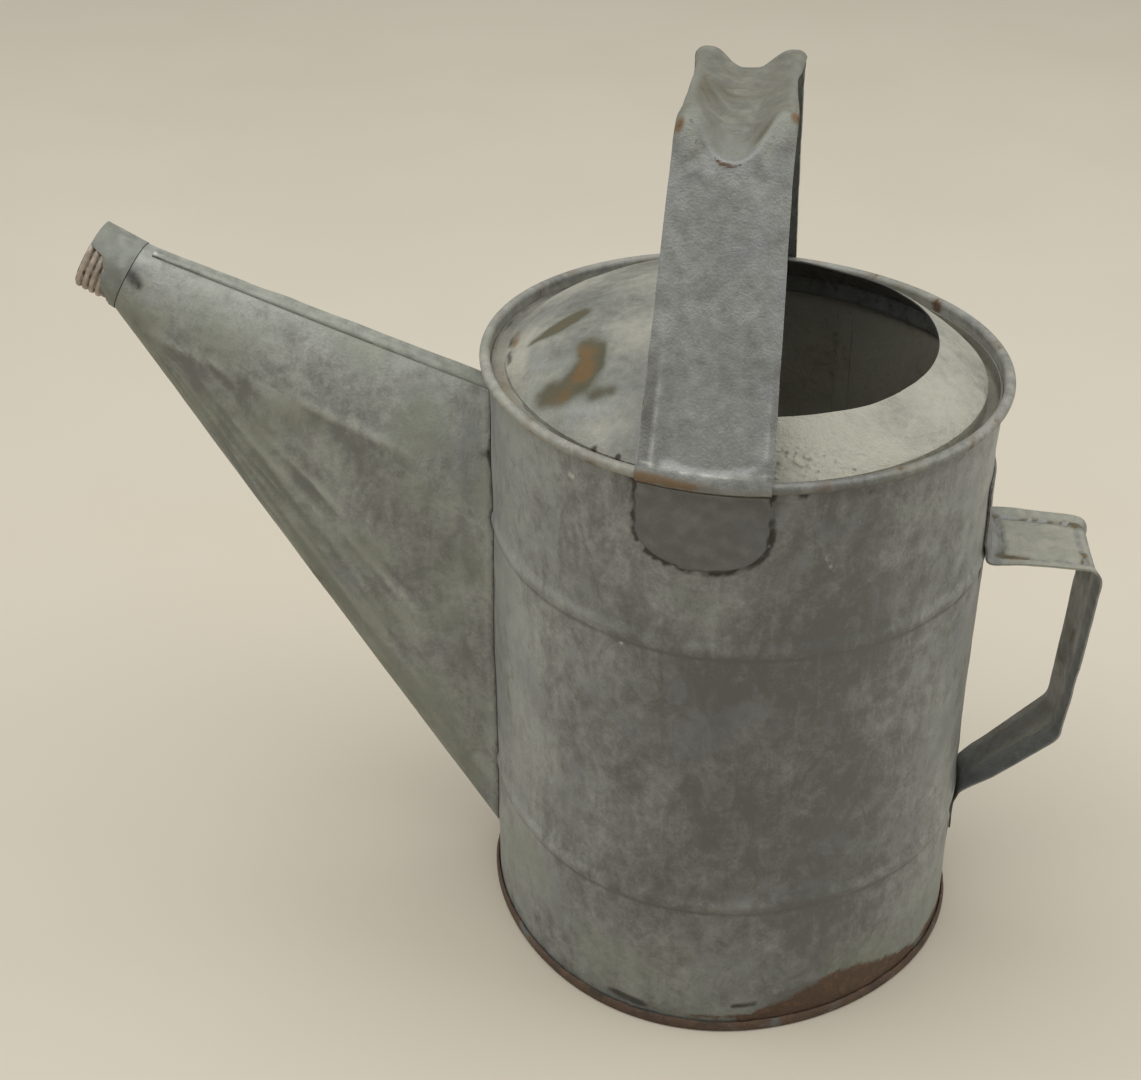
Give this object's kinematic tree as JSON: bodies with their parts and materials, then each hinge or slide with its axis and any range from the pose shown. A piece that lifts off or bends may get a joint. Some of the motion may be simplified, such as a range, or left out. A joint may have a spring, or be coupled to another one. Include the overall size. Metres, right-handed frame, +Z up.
{
  "type": "rusty watering can",
  "caption": "Weathered galvanised watering can with a half-moon filling opening, a long tapering spout, a strap handle over the top and a strap handle behind.",
  "frame": {"origin": "middle of the round bottom, on the floor that the can stands on", "axes": "+Z up; +X from the spout towards the rear handle; +Y across the can, along the crown of the top handle"},
  "size_m": [0.4447, 0.2265, 0.3979],
  "materials": {
    "galvanised": "dull weathered zinc with rust at the seams and folds",
    "dusty_galvanised": "dull weathered zinc under dust, with rust stains",
    "wire": "plain steel wire, closed in the rim",
    "tarnished_brass": "dull brown and pinkish tarnish"
  },
  "bodies": {
    "root": {"body_shell": "galvanised", "rim_wire": "wire", "bottom_plate": "galvanised", "breast": "dusty_galvanised", "spout_shell": "galvanised", "spout_collar": "galvanised", "nozzle_ring": "tarnished_brass", "top_handle": "galvanised", "rear_handle": "galvanised"}
  },
  "joints": []
}
